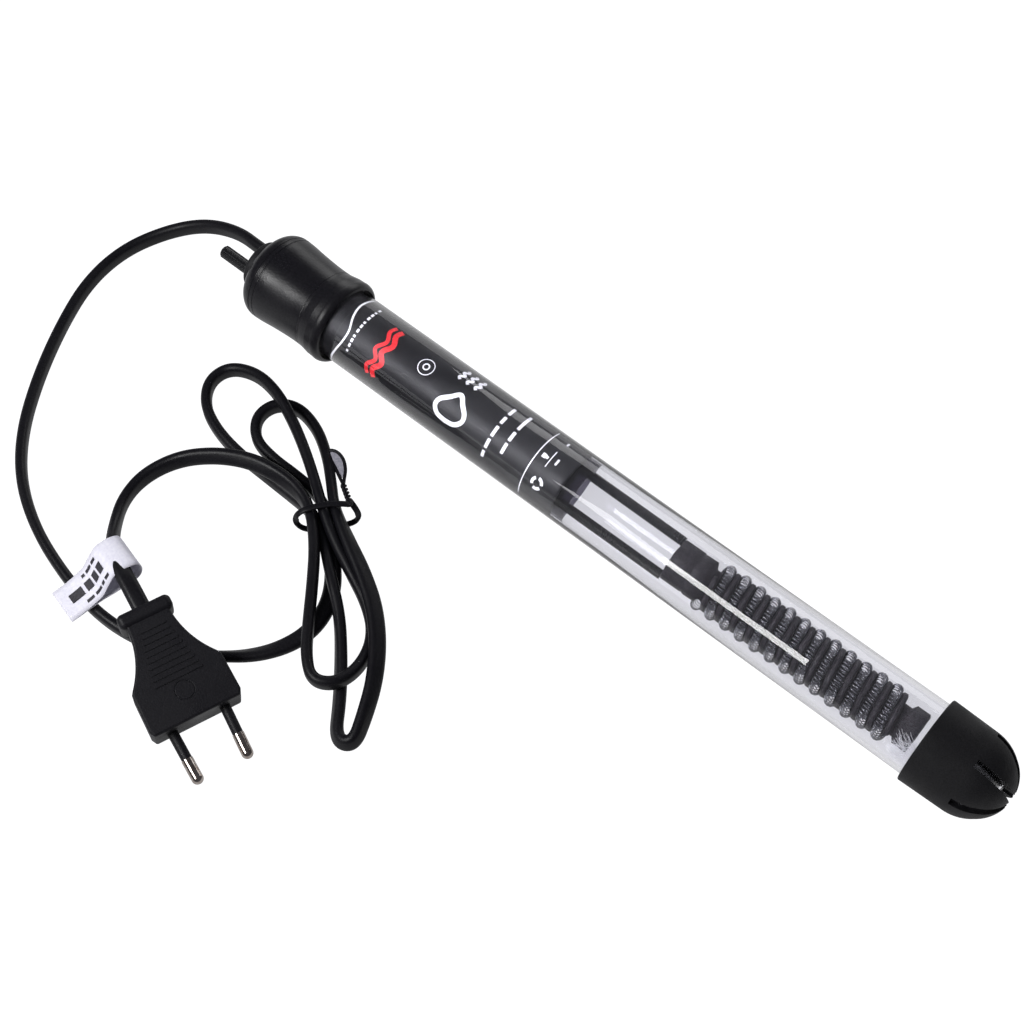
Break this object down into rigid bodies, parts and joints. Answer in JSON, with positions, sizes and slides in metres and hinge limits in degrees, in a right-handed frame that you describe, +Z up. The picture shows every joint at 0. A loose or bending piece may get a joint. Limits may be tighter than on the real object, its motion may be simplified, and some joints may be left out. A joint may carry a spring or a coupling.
{
  "type": "submersible aquarium heater",
  "caption": "Glass-tube submersible heater with a waisted head cap, fluted adjusting knob, coiled heating element, slotted end guard, and a tied flat cord with a flat two-pin plug.",
  "frame": {"origin": "on the surface that the heater lies on, under the middle of the heater without its cord", "axes": "+X from the head cap to the end guard, +Z up; the cord, plug and tag lie on the -Y side"},
  "size_m": [0.3767, 0.174, 0.0339],
  "materials": {
    "glass": "clear polished tube glass",
    "cap_plastic": "satin black moulded plastic",
    "black_rubber": "fine-grained matt black rubber",
    "knob_plastic": "semi-gloss black plastic",
    "seal_rubber": "smooth rubber",
    "sleeve_film": "satin black film",
    "smoke_plastic": "smoky translucent plastic",
    "board_phenolic": "brown laminate",
    "steel": "bright sheet steel",
    "brass": "turned brass",
    "silver": "silver contact",
    "magnet": "sintered magnet",
    "lamp_glass": "neon lamp glass",
    "resistor_lacquer": "lacquer",
    "capacitor_plastic": "moulded box",
    "wire_blue": "PVC insulation",
    "wire_brown": "PVC insulation",
    "lead_sleeving": "lacquered black braided sleeving",
    "ceramic": "unglazed dark grey ceramic",
    "resistance_wire": "coiled resistance wire",
    "glass_wool": "white glass wool",
    "cord_pvc": "satin black PVC",
    "plug_pvc": "matt black moulded PVC",
    "nickel": "nickel-plated pins",
    "tag_paper": "coated white paper"
  },
  "bodies": {
    "heater": {"glass_tube": "glass", "head_cap": "cap_plastic", "cord_gland": "cap_plastic", "tube_stopper": "seal_rubber", "end_guard": "black_rubber", "knob_o_ring": "seal_rubber", "adjuster_bracket": "steel", "mounting_board": "board_phenolic", "fixed_contact": "silver", "contact_post": "brass", "snap_magnet": "magnet", "bimetal_anchor": "brass", "anchor_rivets": "steel", "indicator_lamp": "lamp_glass", "lamp_resistor": "resistor_lacquer", "suppression_capacitor": "capacitor_plastic", "neutral_wire": "wire_blue", "live_wire": "wire_brown", "terminal_tabs": "brass", "printed_sleeve": "sleeve_film", "inner_liner": "smoke_plastic", "end_disc": "board_phenolic", "lead_upper": "lead_sleeving", "lead_lower": "lead_sleeving", "ceramic_core": "ceramic", "return_wire": "resistance_wire", "heating_coil": "resistance_wire", "glass_wool_pad": "glass_wool", "mains_cord": "cord_pvc", "plug_cord": "cord_pvc", "cord_hank": "cord_pvc", "twist_tie": "cord_pvc", "plug_body": "plug_pvc", "plug_pins": "nickel", "pin_sleeves": "plug_pvc", "rating_tag": "tag_paper"},
    "knob": {"adjusting_knob": "knob_plastic", "adjusting_shaft": "steel", "adjusting_screw": "brass"},
    "pusher": {"adjuster_nut": "brass"},
    "contact_arm": {"bimetal_strip": "steel", "moving_contact": "silver", "magnet_armature": "steel"}
  },
  "joints": [
    {"name": "knob_turn", "type": "hinge", "parent": "heater", "child": "knob", "pos_m": [-0.16941, -0.0038, 0.01569], "axis": [1, 0, -0.0055], "range_deg": [-150, 150]},
    {"name": "pusher_travel", "type": "slide", "parent": "heater", "child": "pusher", "axis": [1, 0, -0.0055], "range_m": [-0.00063, 0.00063]},
    {"name": "contact_opening", "type": "hinge", "parent": "heater", "child": "contact_arm", "pos_m": [-0.04868, 0.0015, 0.02013], "axis": [0, 1, 0], "range_deg": [0, 2], "stiffness_Nm_per_rad": 0.05, "springref_deg": -2.86}
  ],
  "couplings": [
    {"joint": "knob_turn", "follows": "pusher_travel", "rad_per_m": -4188.7}
  ]
}
